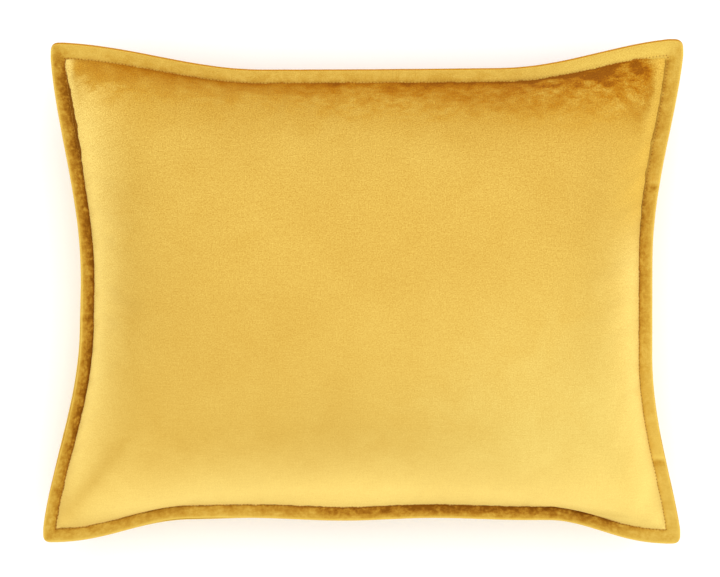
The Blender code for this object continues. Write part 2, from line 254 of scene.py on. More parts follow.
def tube_walls(count, sides):
    """The faces between rings of points, each joined to the next."""
    faces = []
    for here in range(0, (count - 1) * sides, sides):
        after = here + sides
        for c in range(sides):
            d = (c + 1) % sides
            faces.append([here + c, here + d, after + d, after + c])
    return faces


def rings(across, up, sides):
    """A unit circle of points round each place, in the plane of across and up."""
    angles = np.arange(sides) * math.tau / sides
    return across[:, None] * np.cos(angles)[None, :, None] + up[:, None] * np.sin(angles)[None, :, None]


def rim_of(grid):
    """The edge of a grid, once round, counter-clockwise."""
    return np.concatenate([grid[:-1, 0], grid[-1, :-1], grid[:0:-1, -1], grid[0, :0:-1]])


def store(made, name, values):
    """Keeps one value or vector for each point, for the material to read."""
    values = np.asarray(values, dtype=np.float32)
    kind = "FLOAT_VECTOR" if values.shape[-1] == 3 and values.ndim > 2 else "FLOAT"
    layer = made.data.attributes.new(name, kind, "POINT")
    layer.data.foreach_set("vector" if kind == "FLOAT_VECTOR" else "value", values.ravel())


def apply_modifiers(made):
    """Keeps what the modifiers make as the object's own mesh."""
    shown = made.evaluated_get(bpy.context.evaluated_depsgraph_get())
    mesh = bpy.data.meshes.new_from_object(shown)
    made.modifiers.clear()
    made.data = mesh


# Cloth simulation

CLOTH = {
    "quality": 6,
    "mass": 0.05,
    "tension_stiffness": 60,
    "compression_stiffness": 12,
    "shear_stiffness": 7.5,
    "bending_stiffness": 6.0,
    "tension_damping": 5,
    "compression_damping": 5,
    "shear_damping": 5,
    "bending_damping": 0.5,
    "air_damping": 2,
    "vertex_group_mass": "seam",
    "use_pressure": True,
    "uniform_pressure_force": 500,
}
DRAWN_BY = 21  # frame at which the edge has reached the seam's outline
LAST_FRAME = 33


def blown_up(name, side):
    """One panel of the cover inside its seam, sewn to the stuffed outline and filled.

    The flat cut sheet is pinned at its edge, the edge is drawn in to the seam's outline and the
    pressure of the filling lifts the rest. side is 1 for the front and -1 for the back.
    """
    columns, rows = SIM_CELLS
    u, v = np.meshgrid(np.linspace(0, 1, columns + 1), np.linspace(0, 1, rows + 1), indexing="ij")
    bulge = 16 * u * (1 - u) * v * (1 - v)
    lift = bulge * 4 * MM * side
    flat = xyz(*on_cloth(u, v), lift)
    drawn = np.concatenate([seam_patch(u, v), lift[..., None]], -1)

    sheet = new_mesh(name, flat, quads(columns + 1, rows + 1, side < 0))
    sheet.shape_key_add(name="Basis")
    key = sheet.shape_key_add(name="drawn")
    key.data.foreach_set("co", drawn.ravel())
    key.value = 0.0
    key.keyframe_insert("value", frame=1)
    key.value = 1.0
    key.keyframe_insert("value", frame=DRAWN_BY)
    index = np.arange(u.size).reshape(u.shape)
    edge = {int(k) for line in (index[0], index[-1], index[:, 0], index[:, -1]) for k in line}
    pinned = sheet.vertex_groups.new(name="seam")
    pinned.add(sorted(edge), 1.0, "REPLACE")
    cloth = sheet.modifiers.new("filled", "CLOTH")
    cloth.collision_settings.use_collision = False
    cloth.point_cache.frame_start = 1
    cloth.point_cache.frame_end = 80
    for key, value in CLOTH.items():
        setattr(cloth.settings, key, value)
    cloth.settings.effector_weights.gravity = 0
    for step in range(1, LAST_FRAME + 1):
        bpy.context.scene.frame_set(step)
    shown = sheet.evaluated_get(bpy.context.evaluated_depsgraph_get())
    points = np.empty(u.size * 3)
    shown.data.vertices.foreach_get("co", points)
    bpy.context.scene.frame_set(1)
    bpy.data.objects.remove(sheet)
    return points.reshape(*u.shape, 3)


# The cover


def lines(flat_half):
    """Grid places from 0 to 1 between two seams: close together near the seams."""
    length = 2 * flat_half
    rest = length - 2 * NEAR_SEAM[-1]
    even = np.linspace(NEAR_SEAM[-1], length - NEAR_SEAM[-1], round(rest / GRID) + 1)
    places = np.concatenate([NEAR_SEAM[:-1], even, length - NEAR_SEAM[-2::-1]])
    return places / length


def flange_steps():
    """Shares of the flange's width, from the seam out to its rim, and the half thickness at each."""
    turn = np.linspace(0, math.pi / 2, 5)
    width = FLANGE / MM
    roll = ROLL / MM
    out = np.concatenate([OUT_TO_RIM, width - roll + roll * np.sin(turn)])
    rise = np.clip(out / 2.8, 0, 1)
    seam = SEAM_HALF / MM
    full = FLANGE_HALF / MM
    height = seam + (full - seam) * np.sin(rise * math.pi / 2)
    height[-5:] = full - roll + roll * np.cos(turn)
    return out / width, np.maximum(height, 0.12) * MM


def rounded(a, b):
    """Turns the outer corner of a unit square into a rounded one."""
    start = 1 - CORNER_ROUND
    inner_a = np.clip((a - start) / CORNER_ROUND, 0, 1)
    inner_b = np.clip((b - start) / CORNER_ROUND, 0, 1)
    return (
        np.minimum(a, start) + CORNER_ROUND * inner_a * np.sqrt(1 - inner_b**2 / 2),
        np.minimum(b, start) + CORNER_ROUND * inner_b * np.sqrt(1 - inner_a**2 / 2),
    )


def fade(distance, reach):
    """1 near a seam, falling to 0 within about twice the reach."""
    return np.minimum(1.0, 1.15 * np.exp(-((np.maximum(distance, 0) / reach) ** 2)))


def near_line(points, start, end, half_width):
    """1 on a line seen from above, falling to 0 beside it and towards its ends."""
    start, end = np.array(start), np.array(end)
    length = np.linalg.norm(end - start)
    along = (end - start) / length
    offset = points[..., :2] - start
    share = offset @ along / length
    across = offset @ np.array((-along[1], along[0]))
    return np.exp(-((across / half_width) ** 2)) * np.exp(-((2 * share - 1) ** 4))


def ripple(place, lengths, phase):
    """A soft uneven wave along a seam, from -1 to 1."""
    waves = [np.sin(math.tau * place / length + phase * (k + 1.7)) for k, length in enumerate(lengths)]
    return sum(waves) / len(waves)


class Panel:
    """One velvet panel of the cover with its layer of the flange, as one grid of points."""

    def __init__(self, filled, side):
        shares, heights = flange_steps()
        us = lines(FLAT_X)
        vs = lines(FLAT_Y)
        self.side = side
        self.flange = len(shares)
        self.us = np.concatenate([np.zeros(self.flange), us, np.ones(self.flange)])
        self.vs = np.concatenate([np.zeros(self.flange), vs, np.ones(self.flange)])
        out_x = np.concatenate([-shares[::-1], np.zeros(len(us)), shares])
        out_y = np.concatenate([-shares[::-1], np.zeros(len(vs)), shares])
        height_x = np.concatenate([heights[::-1], np.full(len(us), SEAM_HALF), heights])
        height_y = np.concatenate([heights[::-1], np.full(len(vs), SEAM_HALF), heights])
        self.out_x, self.out_y = np.meshgrid(out_x, out_y, indexing="ij")
        step_x, step_y = np.meshgrid(height_x, height_y, indexing="ij")
        deeper = np.abs(self.out_x) > np.abs(self.out_y)
        self.half = np.where(deeper, step_x, step_y)
        self.u, self.v = np.meshgrid(self.us, self.vs, indexing="ij")
        self.x, self.y = on_cloth(self.u, self.v)
        self.hole = None
        self.points = resample(filled, self.us, self.vs)
        self.add_flange()

    def add_flange(self):
        share_x, share_y = rounded(np.abs(self.out_x), np.abs(self.out_y))
        width_x = np.where(self.out_x < 0, LEFT.width(self.v), RIGHT.width(self.v)) * MM
        width_y = np.where(self.out_y < 0, BOTTOM.width(self.u), TOP.width(self.u)) * MM
        # The back layer shows a little beyond the front one, low on the left and at the lower left
        beyond_x = (self.out_x < 0) * ease(self.v, 0.08, 0.2) * ease(self.v, 0.72, 0.4)
        beyond_y = (self.out_y < 0) * ease(self.u, 0.1, 0.2) * ease(self.u, 0.34, 0.25)
        width_x = width_x - self.side * 0.45 * MM * beyond_x
        width_y = width_y - self.side * 0.45 * MM * beyond_y
        self.points[..., 0] += np.sign(self.out_x) * share_x * width_x
        self.points[..., 1] += np.sign(self.out_y) * share_y * width_y
        self.points[..., 2] += SEAM_Z + self.side * self.half

    def seam_distance(self):
        """Metres from the seam: positive on the body and negative out on the flange."""
        inside_x = np.minimum(self.u, 1 - self.u) * 2 * FLAT_X
        inside_y = np.minimum(self.v, 1 - self.v) * 2 * FLAT_Y
        outside = np.maximum(np.abs(self.out_x), np.abs(self.out_y)) * FLANGE
        return np.where(outside > 0, -outside, np.minimum(inside_x, inside_y))

    def flat(self):
        """Where each point lay on the cut cloth."""
        return xyz(self.x + self.out_x * FLAT_FLANGE, self.y + self.out_y * FLAT_FLANGE)

    def distances(self):
        """Metres along the cloth from the left, right, lower and upper seams; negative on the flange."""
        x = self.x + self.out_x * FLANGE
        y = self.y + self.out_y * FLANGE
        return FLAT_X + x, FLAT_X - x, FLAT_Y + y, FLAT_Y - y

    def shading_and_tones(self):
        """Painted sheen and painted shade of the velvet, with its own tone and marks, for the material: each
        value runs from about 0 to 1.
        """
        left, right, low, high = self.distances()
        x = self.x
        # Painted sheen: bright bands where the sides and the bottom turn down to the seam, weaker near the
        # top and the lower corners
        right_side = fade(right, SIDE_BAND) * (1 - 0.25 * ease(high, 0.20, 0.12))
        sides = np.maximum(fade(left, SIDE_BAND), right_side) * (1 - 0.25 * ease(high, 0.10, 0.01))
        painted_sheen = np.maximum(sides, fade(low, LOW_BAND))
        rightwards = ease(x, -0.05, 0.20)
        corner = np.maximum(fade(left, 0.045), fade(right, 0.045)) * fade(low, 0.055)
        painted_sheen = painted_sheen * (1 - 0.45 * corner)
        border = 0.6 * ease(left, 2 * MM, 14 * MM) + 0.4 * ease(left, 8 * MM, 55 * MM)
        border = border * ease(right, 5 * MM, 26 * MM)
        # Painted shade below the top seam, where the slope turns up, deeper and wider towards the right
        top_shade = np.exp(-np.maximum(high, 0) / (DARK_BAND * (1 + 0.60 * rightwards)))
        top_shade = top_shade * (0.82 + 0.33 * rightwards) * border
        painted_sheen = painted_sheen * (1 - np.minimum(top_shade, 1))
        reach = ease(high, MARK_REACH, 0.25 * MARK_REACH) * border
        marks = reach * (0.14 + 0.14 * ease(x, -0.10, 0.0) + 0.30 * ease(x, 0.08, 0.19))
        # The face's tone: lighter towards the lower right, and darker just below the top seam as painted
        # shade
        face_tone = 0.34 + 0.55 * ease(x, -0.10, 0.21) * ease(high, 0.10, 0.30)
        face_tone = face_tone + 0.12 * ease(high, 0.15, 0.34) - 0.22 * ease(high, 0.085, 0.03)
        # Painted shade in the creases' hollows and painted highlight on their ridges
        if self.side > 0:
            for start, end, half_width, _, painted_shading in CREASES:
                line = near_line(self.points, start, end, half_width)
                face_tone = face_tone + painted_shading * line
                painted_sheen = np.clip(painted_sheen + painted_shading * line, 0, 1)
        return {
            "painted_sheen_band": painted_sheen,
            "painted_shade_band": top_shade,
            "mark_reach": marks,
            "face_tone": face_tone,
            "flange_shade": self.flange_shade(),
            "valley": self.seam_distance() - self.shade_spill(),
            "along": self.along(),
        }

    def flange_shade(self):
        """The flange's painted shade, where the body shades it: most in the valley, to the left and below.
        """
        x, y = self.x, self.y
        below = 0.45 + 0.55 * ease(x, -0.10, 0.04)
        below = below * (1 - 0.65 * ease(x, 0.17, 0.225))
        right = 0.12 + 0.42 * ease(y, -0.11, 0.02) - 0.20 * ease(y, 0.076, 0.090)
        left = 0.55 + 0.45 * ease(y, -0.175, -0.09)
        above = 0.20 - 0.42 * ease(x, 0.10, 0.18)
        total = np.zeros_like(x)
        weights = np.zeros_like(x)
        for distance, amount in zip(self.distances(), (left, right, below, above)):
            weight = np.clip(9 * MM - distance, 0, None) ** 4
            total = total + weight * amount
            weights = weights + weight
        out = np.clip(-self.seam_distance() / FLANGE, 0, 1)
        total = total / np.maximum(weights, 1e-12) * (1 - out) ** 0.75
        # Each kink adds a painted highlight above it and painted shade below it
        for where, middle, push in KINKS:
            t = (self.points[..., 1] - middle) / (3 * MM)
            beside = self.out_x < 0 if where == "left" else self.out_x > 0
            total = total - np.where(beside, push / MM * t * np.exp(-(t**2)), 0)
        return total

    def shade_spill(self):
        """Where the flange's painted shade spills onto the cloth just inside the seam, and how far in."""
        left, right = self.distances()[:2]
        beside_left = ease(self.y, 0.085, 0.12) * ease(self.y, 0.185, 0.15) * 4.5 * MM
        beside_right = ease(self.y, 0.03, 0.10) * (4.5 - 2.0 * ease(self.y, 0.11, 0.15)) * MM
        near_left = ease(left, 20 * MM, 8 * MM)
        near_right = ease(right, 24 * MM, 10 * MM)
        return beside_left * near_left + beside_right * near_right

    def along(self):
        """Metres round the seam to the nearest place on it, for the needle holes."""
        loop = seam_loop()[:, :2]
        travelled = distances_round(loop)
        points = self.points[..., :2].reshape(-1, 2)
        near = np.nonzero(np.abs(self.seam_distance().ravel()) < 9 * MM)[0]
        nearest = np.argmin(((points[near, None] - loop[None]) ** 2).sum(-1), axis=1)
        run = unit(np.roll(loop, -1, 0) - loop)[nearest]
        result = np.zeros(len(points))
        result[near] = travelled[nearest] + ((points[near] - loop[nearest]) * run).sum(-1)
        return result.reshape(self.u.shape)

    def pucker(self):
        """The gathers that the seam's stitches leave in the longer cloth, dying out within a few mm."""
        distance = self.seam_distance()
        flat = self.flat()
        left, right, low, high = self.distances()
        beside = np.minimum(left, right) < np.minimum(low, high)
        along = np.where(beside, flat[..., 1], flat[..., 0])
        body = 0.30 * MM * np.exp(-distance / (5 * MM)) * np.clip(distance / (1.2 * MM), 0, 1)
        wave = ripple(along, (0.0131, 0.0087, 0.0219), self.side + 2.0)
        flange_wave = ripple(along, (0.031, 0.0193, 0.052), self.side * 0.3 + 1.0)
        flange = 0.35 * MM * np.clip(-distance / (9 * MM), 0, 1)
        self.points[..., 2] += np.where(distance >= 0, self.side * body * wave, flange * flange_wave)
        if self.side > 0:
            for start, end, half_width, lift, _ in CREASES:
                self.points[..., 2] += lift * near_line(self.points, start, end, half_width)
        for where, middle, push in KINKS:
            y = self.points[..., 1] - middle
            here = ease(-(left if where == "left" else right), 0.5 * MM, 4 * MM)
            self.points[..., 2] += push * here * np.exp(-((y / (2.6 * MM)) ** 2))

    def cut_shelf(self):
        """Flattens the back just inside its lower seam, for the zipper, and opens the slot in it."""
        x, y, z = (self.points[..., k] for k in range(3))
        along = 1 - ease(np.abs(x), SHELF_HALF, SHELF_FADE)
        inside = np.clip(self.v * 2 * FLAT_Y, 0, None)
        edge = ZIP_Y - 4.1 * MM
        seam_y = BOTTOM.at(self.u)[..., 1]
        row_y = np.interp(inside, SHELF_ROWS, SHELF_PLACES)
        target_y = np.where(inside < SLOT_ROWS[0], seam_y + (edge - seam_y) * inside / SLOT_ROWS[0], row_y)
        outer = SEAM_Z - (1.5 * MM + 0.12 * (target_y - edge + 3.9 * MM))
        rise = ease(inside, 0, 2.5 * MM)
        target_z = z + (outer - z) * rise
        across = 1 - ease(inside, SHELF_ROWS[-2], SHELF_ROWS[-1])
        share = np.where(self.seam_distance() >= 0, along * across, 0)
        self.points[..., 1] = y + (target_y - y) * share
        self.points[..., 2] = z + (target_z - z) * share
        middle = inside[:, :-1] + np.diff(inside, axis=1) / 2
        in_slot = (middle > SLOT_ROWS[0]) & (middle < SLOT_ROWS[1]) & (np.abs(x[:, :-1]) < SLOT_HALF_X)
        self.hole = in_slot[:-1] & in_slot[1:]

    def inside_grid(self):
        """The shape inside the seam, read off on an even grid, from the middle of the flange."""
        inner = slice(self.flange, -self.flange)
        us, vs = self.us[inner], self.vs[inner]
        even_u, even_v = np.linspace(0, 1, 241), np.linspace(0, 1, 191)
        body = np.moveaxis(self.points[inner, inner], -1, 0)
        across = np.stack([[np.interp(even_u, us, line) for line in layer.T] for layer in body])
        grid = np.stack([[np.interp(even_v, vs, line) for line in layer.T] for layer in across], -1)
        grid[..., 2] -= SEAM_Z
        return grid

    def build(self, name):
        columns, rows = self.u.shape
        faces = quads(columns, rows, self.side < 0)
        if self.hole is not None:
            faces = faces[~self.hole.ravel()]
        made = new_mesh(name, self.points, faces)
        store(made, "flat", self.flat())
        store(made, "seam", self.seam_distance())
        for layer, values in self.shading_and_tones().items():
            store(made, layer, values)
        return made


def finish_cloth(made, thickness, levels=1):
    thick = made.modifiers.new("thickness", "SOLIDIFY")
    thick.thickness = thickness
    thick.offset = -1.0
    smooth = made.modifiers.new("smooth", "SUBSURF")
    smooth.levels = levels
    smooth.render_levels = levels
    apply_modifiers(made)


# Materials


def linear(hex_colour, gain=1.0):
    """A screen colour as a linear one."""
    channels = [int(hex_colour[k : k + 2], 16) / 255 for k in (0, 2, 4)]
    bent = [c / 12.92 if c <= 0.04045 else ((c + 0.055) / 1.055) ** 2.4 for c in channels]
    return (*(min(1.0, c * gain) for c in bent), 1.0)


class Finish:
    """A material's node tree, built with short calls."""

    def __init__(self, name, roughness=0.6, metallic=0.0, **shader):
        self.material = bpy.data.materials.new(name)
        self.material.use_nodes = True
        self.tree = self.material.node_tree
        self.shader = self.tree.nodes["Principled BSDF"]
        self.set("Roughness", roughness)
        self.set("Metallic", metallic)
        for key, value in shader.items():
            self.set(key.replace("_", " "), value)

    def set(self, name, value):
        socket = self.shader.inputs[name]
        if isinstance(value, bpy.types.NodeSocket):
            self.tree.links.new(value, socket)
        else:
            socket.default_value = value

    def add(self, kind, inputs=None, **settings):
        made = self.tree.nodes.new("ShaderNode" + kind)
        for key, value in settings.items():
            setattr(made, key, value)
        for key, value in (inputs or {}).items():
            if isinstance(value, bpy.types.NodeSocket):
                self.tree.links.new(value, made.inputs[key])
            else:
                made.inputs[key].default_value = value
        return made

    def attribute(self, name, output="Fac"):
        return self.add("Attribute", attribute_name=name).outputs[output]

    def math(self, operation, a, b=0.0):
        return self.add("Math", {0: a, 1: b}, operation=operation).outputs[0]

    def plus(self, a, b):
        return self.math("ADD", a, b)

    def times(self, a, b):
        return self.math("MULTIPLY", a, b)

    def range(self, value, low, high, to_low=0.0, to_high=1.0, smooth=True):
        kind = "SMOOTHSTEP" if smooth else "LINEAR"
        inputs = {0: value, 1: low, 2: high, 3: to_low, 4: to_high}
        return self.add("MapRange", inputs, interpolation_type=kind).outputs[0]

    def signed(self, value, low, high):
        """-1 at low and 1 at high."""
        return self.range(value, low, high, -1.0, 1.0, smooth=False)

    def noise(self, place, scale, detail=2.0, roughness=0.5, distortion=0.0):
        inputs = {"Vector": place, "Scale": scale, "Detail": detail, "Roughness": roughness}
        inputs["Distortion"] = distortion
        return self.add("TexNoise", inputs).outputs["Fac"]

    def stretch(self, place, scale):
        return self.add("Mapping", {"Vector": place, "Scale": scale}).outputs[0]

    def ramp(self, value, stops, gain):
        """Screen colours by place from 0 to 1."""
        made = self.add("ValToRGB", {0: value})
        places = made.color_ramp.elements
        while len(places) < len(stops):
            places.new(0.5)
        for element, (place, colour) in zip(places, stops.items()):
            element.position = place
            element.color = linear(colour, gain)
        return made.outputs[0]

    def mix(self, factor, a, b, blend="MIX"):
        inputs = {0: factor, 6: a, 7: b}
        return self.add("Mix", inputs, data_type="RGBA", blend_type=blend).outputs[2]

    def bump(self, height, strength, distance):
        inputs = {"Height": height, "Strength": strength, "Distance": distance}
        self.set("Normal", self.add("Bump", inputs).outputs[0])


def velvet():
    """Short-pile velvet: its colour holds painted sheen and painted shade besides its own tone and marks,
    which each panel stores as attributes.
    """
    made = Finish(
        "golden_velvet",
        Sheen_Weight=0.05,
        Sheen_Roughness=0.4,
        Sheen_Tint=(1.0, 0.66, 0.18, 1.0),
        Specular_IOR_Level=0.06,
    )
    plus, times, spread, signed = made.plus, made.times, made.range, made.signed
    noise, stored, mix = made.noise, made.attribute, made.mix
    light = 1 / FACE_LIGHT
    edge = 1 / EDGE_LIGHT
    flat = stored("flat", "Vector")
    place = made.add("SeparateXYZ", {0: flat})
    across, height = place.outputs["X"], place.outputs["Y"]
    normal = made.add("SeparateXYZ", {0: made.add("NewGeometry").outputs["Normal"]})
    patches = noise(flat, 30, 5.0, 0.62, 0.6)
    uneven = signed(patches, 0.3, 0.7)
    tufts = signed(noise(flat, 330, 3.0, 0.6), 0.3, 0.7)

    # The face's tone: a little lighter towards the lower right, with painted shade below the top seam and
    # along the creases
    face_tone = plus(stored("face_tone"), times(uneven, 0.09))
    colour = made.ramp(face_tone, FACE_TONES, light)

    # Painted sheen: bright where the sides turn down to the seam
    painted_sheen = plus(stored("painted_sheen_band"), times(uneven, 0.04))
    upper_right = times(spread(across, 0.10, 0.20), spread(height, 0.02, 0.08))
    sheen_colour = mix(upper_right, linear("FEDC78", edge), linear("F0C352", edge))
    colour = mix(spread(painted_sheen, 0.06, 0.95, smooth=False), colour, sheen_colour)

    # Painted shade below the top seam, with crushed marks in the pile that are strongest at its right end
    crushed = noise(made.stretch(flat, (1.0, 1.3, 1.0)), 50, 8.0, 0.76, 0.15)
    marks = signed(crushed, 0.35, 0.63)
    top = stored("painted_shade_band")
    reach = stored("mark_reach")
    top_shade = plus(top, times(reach, marks))
    top_shade = plus(top_shade, times(times(uneven, top), 0.25))
    top_shade = plus(top_shade, times(times(tufts, reach), 0.35))
    shadow = made.ramp(top_shade, SHADOW_TONES, light)
    colour = mix(spread(top_shade, 0.02, 0.30), colour, shadow)

    # The flange: painted shade from the body in the valley, on the sides away from the light, with mottling
    flange_shade = stored("flange_shade")
    blots = signed(noise(flat, 95, 3.0, 0.6, 0.3), 0.35, 0.65)
    rough = plus(times(flange_shade, 0.30), 0.05)
    flange_shade = plus(flange_shade, times(plus(blots, tufts), rough))
    wander = spread(noise(flat, 160, 3.0, 0.6), 0.3, 0.7, -0.8 * MM, 0.8 * MM, smooth=False)
    seam = plus(stored("valley"), wander)
    on_flange = spread(seam, -0.2 * MM, 0.5 * MM, 1.0, 0.0)
    flange_colour = made.ramp(spread(flange_shade, -0.2, 1.0, smooth=False), FLANGE_TONES, light)
    colour = mix(on_flange, colour, flange_colour)
    # Painted shade in the seam's valley, deepest on the shaded sides
    depth = spread(stored("flange_shade"), 0.0, 0.8, 0.12, 0.7)
    valley = spread(made.math("ABSOLUTE", seam), 0.15 * MM, 1.2 * MM, 1.0, 0.0)
    colour = mix(times(valley, depth), colour, linear("844A07", light))

    # Needle holes along the seam, as dots of painted shade
    hole = times(stored("along"), math.tau / real_pitch())
    hole = spread(made.math("COSINE", hole), 0.45, 0.85)
    on_seam = spread(made.math("ABSOLUTE", stored("seam")), 0.3 * MM, 0.9 * MM, 1.0, 0.0)
    colour = mix(times(times(hole, on_seam), 0.6), colour, linear("7A4406"))

    # Painted highlight along the rim below and beside, and painted shade along it above, where it turns up
    turned = times(normal.outputs["Y"], spread(seam, -6 * MM, -8 * MM))
    above = spread(turned, 0.03, 0.35, 0.0, 0.9)
    rim = spread(stored("seam"), -8.4 * MM, -10.3 * MM, 0.0, 0.75)
    rim = times(rim, made.math("SUBTRACT", 1.0, above))
    colour = mix(rim, colour, linear("F4CE5F", edge))
    colour = mix(above, colour, linear("CF8A12", light))

    # Broad, pile and weave variations of brightness: coarser pile towards the top
    broad = spread(noise(flat, 11, 3.0, 0.5), 0.3, 0.7, 0.975, 1.025)
    grain = noise(flat, 980, 2.0, 0.6)
    warp = noise(made.stretch(flat, (1700, 90, 1)), 1.0, 2.0, 0.5)
    weft = noise(made.stretch(flat, (70, 1500, 1)), 1.0, 2.0, 0.5)
    threads = spread(plus(warp, times(weft, 1.6)), 0.8, 1.8, -1.0, 1.0)
    fine = signed(grain, 0.28, 0.72)
    coarse = spread(height, -0.17, 0.17, 0.08, 0.33, smooth=False)
    coarse = plus(coarse, times(plus(top, reach), 0.10))
    coarse = times(coarse, spread(on_flange, 0.0, 1.0, 1.0, 0.45))
    value = plus(times(fine, coarse), 1.0)
    value = plus(value, times(tufts, times(coarse, 0.22)))
    value = plus(value, times(threads, 0.04))
    value = times(value, broad)
    warm = plus(times(value, 0.65), 0.35)
    cool = made.math("SUBTRACT", times(value, 1.6), 0.6)
    grey = made.add("CombineColor", {0: warm, 1: value, 2: cool}).outputs[0]
    made.set("Base Color", mix(1.0, colour, grey, "MULTIPLY"))
    made.set("Roughness", spread(grain, 0.3, 0.7, 0.80, 0.94))
    pile = plus(grain, times(threads, 0.1))
    made.bump(pile, 0.35, 0.25 * MM)
    return made.material


def grained(made, colour, shade, tones, rough, roughness, relief, strength, depth, shade_at=(0.3, 0.7)):
    """Finishes a material from patterns: one shades its colour, one varies its gloss, one raises it."""
    value = made.range(shade, *shade_at, *tones)
    grey = made.add("CombineColor", {0: value, 1: value, 2: value}).outputs[0]
    made.set("Base Color", made.mix(1.0, grey, linear(colour), "MULTIPLY"))
    made.set("Roughness", made.range(rough, 0.3, 0.7, *roughness))
    made.bump(relief, strength, depth)
    return made.material


def object_place(made):
    return made.add("TexCoord").outputs["Object"]


def thread_finish(name, colour):
    """Spun sewing thread: fine slanting ply."""
    made = Finish(name, Specular_IOR_Level=0.3)
    ply = made.noise(made.stretch(object_place(made), (2600, 2600, 5200)), 1.0, 2.0, 0.6)
    return grained(made, colour, ply, (0.82, 1.12), ply, (0.55, 0.75), ply, 0.4, 0.05 * MM)


def woven_finish(name, colour, pitch, depth, roughness=0.85, **shader):
    """Plain weave: two sets of threads at right angles, with slubs."""
    made = Finish(name, **shader)
    flat = made.attribute("flat", "Vector")
    sets = []
    for direction in ("X", "Y"):
        inputs = {"Vector": flat, "Scale": 0.5 / pitch, "Distortion": 0.5, "Detail": 1.0}
        sets.append(made.add("TexWave", inputs, bands_direction=direction).outputs["Fac"])
    weave = made.times(made.plus(*sets), 0.5)
    slub = made.noise(made.stretch(flat, (60, 900, 1)), 1.0, 3.0, 0.6)
    thick = made.plus(made.times(weave, 0.6), made.times(slub, 0.4))
    gloss = (roughness - 0.06, roughness + 0.06)
    return grained(made, colour, thick, (0.90, 1.04), slub, gloss, thick, 0.5, depth, (0.25, 0.75))


def fibre_finish():
    """Loose polyester fibre: a mat of crimped hairs."""
    made = Finish("polyester_fibre", Sheen_Weight=0.3, Sheen_Roughness=0.5, Specular_IOR_Level=0.2)
    place = object_place(made)
    tufts = made.noise(place, 90, 6.0, 0.7, 0.8)
    hairs = made.noise(made.stretch(place, (300, 1800, 900)), 1.0, 4.0, 0.7, 1.5)
    relief = made.plus(tufts, made.times(hairs, 0.4))
    return grained(made, "F5F4F1", tufts, (0.90, 1.02), hairs, (0.88, 1.0), relief, 0.8, 1.2 * MM)


def nylon_finish():
    """Drawn monofilament, smooth along its length."""
    made = Finish("zipper_nylon", Specular_IOR_Level=0.5, Coat_Weight=0.15, Coat_Roughness=0.3)
    streaks = made.noise(object_place(made), 1500, 3.0, 0.6)
    return grained(made, "DCAE48", streaks, (0.93, 1.05), streaks, (0.32, 0.48), streaks, 0.15, 0.03 * MM)


def brass_finish():
    """Brushed brass, dulled a little in random patches."""
    made = Finish("zipper_brass", metallic=1.0)
    place = object_place(made)
    brushed = made.noise(made.stretch(place, (400, 6000, 6000)), 1.0, 3.0, 0.6)
    worn = made.noise(place, 700, 3.0, 0.5)
    return grained(made, "D9B36C", worn, (0.86, 1.04), brushed, (0.24, 0.40), brushed, 0.2, 0.02 * MM)


# Stage


def camera():
    """Straight down over the middle, as in a catalogue picture."""
    height = 2.0
    width_seen = 0.5566  # at the height of the flange
    data = bpy.data.cameras.new("camera")
    data.sensor_width = 36.0
    data.lens = 36.0 * height / width_seen
    data.clip_end = 50
    made = bpy.data.objects.new("camera", data)
    made.location = (-0.0023, 0.0019, SEAM_Z + height)
    bpy.context.collection.objects.link(made)
    bpy.context.scene.camera = made


def softbox(name, place, size, power):
    data = bpy.data.lights.new(name, "AREA")
    data.shape = "RECTANGLE"
    data.size, data.size_y = size
    data.energy = power
    made = bpy.data.objects.new(name, data)
    made.location = place
    made.rotation_mode = "QUATERNION"
    aim = Vector((0, 0, SEAM_Z)) - Vector(place)
    made.rotation_quaternion = aim.to_track_quat("-Z", "Y")
    bpy.context.collection.objects.link(made)


def studio():
    bpy.context.scene.view_settings.view_transform = "Standard"
    world = bpy.data.worlds.new("studio")
    world.use_nodes = True
    background = world.node_tree.nodes["Background"]
    background.inputs["Color"].default_value = (1.0, 1.0, 1.0, 1.0)
    background.inputs["Strength"].default_value = 0.86
    bpy.context.scene.world = world
    softbox("overhead", (0, 0, 2.6), (3.0, 3.0), 42)
    softbox("key", (0.8, 1.2, 1.6), (1.2, 1.2), 7)
    floor = new_mesh("floor", [(-4, -4, 0), (4, -4, 0), (4, 4, 0), (-4, 4, 0)], [(0, 1, 2, 3)], False)
    floor.location.z = -0.0005
    paper = Finish("studio_paper", 0.9, Specular_IOR_Level=0.1)
    tooth = paper.noise(object_place(paper), 400, 3.0)
    paper.set("Base Color", paper.mix(tooth, (0.97, 0.97, 0.97, 1), (0.99, 0.99, 0.99, 1)))
    paper.bump(tooth, 0.05, 0.1 * MM)
    floor.data.materials.append(paper.material)


def place_piece(piece, finish, slot, *nodes, body="pillow"):
    """Gives a piece its material, the body it rides on and the CAD nodes it stands for."""
    piece.data.materials.clear()
    piece.data.materials.append(finish)
    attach(piece, body)
    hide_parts(*nodes)
    return piece


